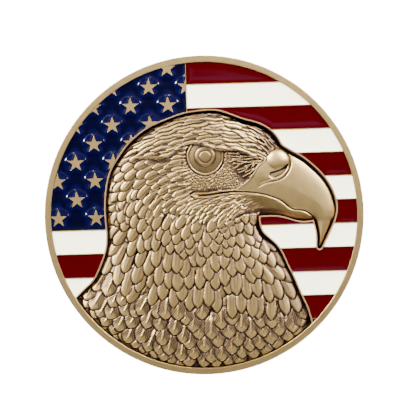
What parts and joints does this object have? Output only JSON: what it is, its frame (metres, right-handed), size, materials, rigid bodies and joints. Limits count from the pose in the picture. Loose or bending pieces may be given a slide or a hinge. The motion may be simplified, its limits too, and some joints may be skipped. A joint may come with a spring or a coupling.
{
  "type": "challenge coin",
  "caption": "Round struck metal keepsake coin with an eagle's head in relief over an enamelled striped and starred flag.",
  "frame": {"origin": "middle of the reverse rim's plane, so the coin lies on Z = 0 with its face up", "axes": "+X right along the flag's stripes, +Y up the design, +Z out of the face"},
  "size_m": [0.0444, 0.0444, 0.0035],
  "materials": {
    "struck_metal": "antique matte gold-bronze plating, dark patina in the recesses",
    "blue_enamel": "glossy hardened enamel",
    "red_enamel": "glossy hardened enamel",
    "white_enamel": "glossy hardened enamel"
  },
  "bodies": {
    "root": {"coin_body": "struck_metal", "enamel_blue_canton": "blue_enamel", "enamel_red_1": "red_enamel", "enamel_red_3": "red_enamel", "enamel_red_5": "red_enamel", "enamel_red_7_jaw": "red_enamel", "enamel_red_7_right": "red_enamel", "enamel_red_9_left": "red_enamel", "enamel_red_9_right": "red_enamel", "enamel_red_11": "red_enamel", "enamel_white_2": "white_enamel", "enamel_white_4": "white_enamel", "enamel_white_6": "white_enamel", "enamel_white_8_left": "white_enamel", "enamel_white_8_throat": "white_enamel", "enamel_white_8_right": "white_enamel", "enamel_white_10_left": "white_enamel", "enamel_white_10_right": "white_enamel"}
  },
  "joints": []
}
